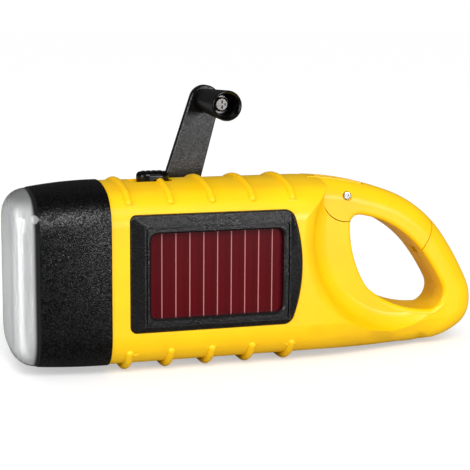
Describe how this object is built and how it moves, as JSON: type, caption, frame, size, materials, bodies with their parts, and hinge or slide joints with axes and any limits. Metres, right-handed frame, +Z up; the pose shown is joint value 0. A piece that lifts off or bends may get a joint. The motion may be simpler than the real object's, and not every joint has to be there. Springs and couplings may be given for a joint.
{
  "type": "hand crank flashlight",
  "caption": "Yellow and black hand torch with a fold-out crank, solar cell, slide switch and snap-hook tail ring, lying on its ribs.",
  "frame": {"origin": "centre of the flat of the middle bottom rib, in the parting plane", "axes": "+X along the torch towards the tail ring, +Y towards the crank side, +Z up, square to the resting plane"},
  "size_m": [0.1416, 0.0406, 0.0783],
  "materials": {
    "yellow_body": "smooth satin moulding",
    "black_shell": "fine grained moulding",
    "black_frame": "smooth satin moulding",
    "black_knob": "smooth moulding",
    "clear_lens": "clear polished plastic",
    "led_lens": "clear epoxy",
    "solar_glass": "dark red cell under a clear layer with fine light lines",
    "bright_reflector": "vacuum plated",
    "seal_rubber": "matte",
    "circuit_board": "lacquered board",
    "steel": "zinc plated",
    "spring_steel": "spring wire",
    "plated_steel": "nickel plated",
    "magnet": "sintered, coated",
    "copper_winding": "enamelled wire",
    "brass": "turned",
    "white_gear": "moulded acetal",
    "switch_metal": "tinned case",
    "inner_plastic": "moulded"
  },
  "bodies": {
    "housing": {"front_shell": "yellow_body", "back_shell": "yellow_body", "head_bezel": "black_shell", "lens": "clear_lens", "lens_seal": "seal_rubber", "reflector": "bright_reflector", "leds": "led_lens", "led_board": "circuit_board", "reflector_screws": "steel", "solar_frame": "black_frame", "solar_cell": "solar_glass", "switch_body": "switch_metal", "gate_pin": "steel", "gate_spring": "spring_steel", "hub_bush": "brass", "idler_axle": "steel", "stator_can": "plated_steel", "stator_coil": "copper_winding", "gear_plate": "inner_plastic", "plate_screws": "steel", "battery_cells": "plated_steel", "battery_cradle": "inner_plastic", "main_board": "circuit_board", "housing_screws": "steel"},
    "slider": {"switch_slider": "black_shell"},
    "gate": {"gate_front": "yellow_body", "gate_back": "yellow_body"},
    "hub": {"crank_hub": "black_shell", "arm_hinge_pin": "steel", "drive_gear": "white_gear", "drive_gear_screw": "steel"},
    "arm": {"crank_arm": "black_shell", "knob_washer": "steel", "knob_screw": "steel"},
    "knob": {"crank_knob": "black_knob"},
    "idler": {"idler_gear": "white_gear"},
    "rotor": {"rotor_pinion": "brass", "rotor_shaft": "steel", "rotor_magnet": "magnet"}
  },
  "joints": [
    {"name": "crank_spin", "type": "hinge", "parent": "housing", "child": "hub", "pos_m": [-0.0056, 0.017, 0.0282], "axis": [0, 1, 0], "range_deg": [-66, 33]},
    {"name": "arm_fold", "type": "hinge", "parent": "hub", "child": "arm", "pos_m": [-0.0056, 0.0198, 0.0282], "axis": [-0.9588, 0, 0.284], "range_deg": [0, 180]},
    {"name": "knob_spin", "type": "hinge", "parent": "arm", "child": "knob", "pos_m": [0.00789, 0.01, 0.07374], "axis": [0, 1, 0], "continuous": true},
    {"name": "idler_spin", "type": "hinge", "parent": "housing", "child": "idler", "pos_m": [0.00895, 0.009, 0.0198], "axis": [0, 1, 0], "continuous": true},
    {"name": "rotor_spin", "type": "hinge", "parent": "housing", "child": "rotor", "pos_m": [0.01309, 0.004, 0.03526], "axis": [0, 1, 0], "continuous": true},
    {"name": "gate_open", "type": "hinge", "parent": "housing", "child": "gate", "pos_m": [0.0437, 0, 0.0472], "axis": [0, 1, 0], "range_deg": [0, 28], "stiffness_Nm_per_rad": 0.02, "springref_deg": -17.19},
    {"name": "switch_slide", "type": "slide", "parent": "housing", "child": "slider", "axis": [-1, 0, 0], "range_m": [0, 0.002]}
  ],
  "couplings": [
    {"joint": "idler_spin", "follows": "crank_spin", "ratio": -3.2},
    {"joint": "rotor_spin", "follows": "crank_spin", "ratio": 9.6}
  ]
}
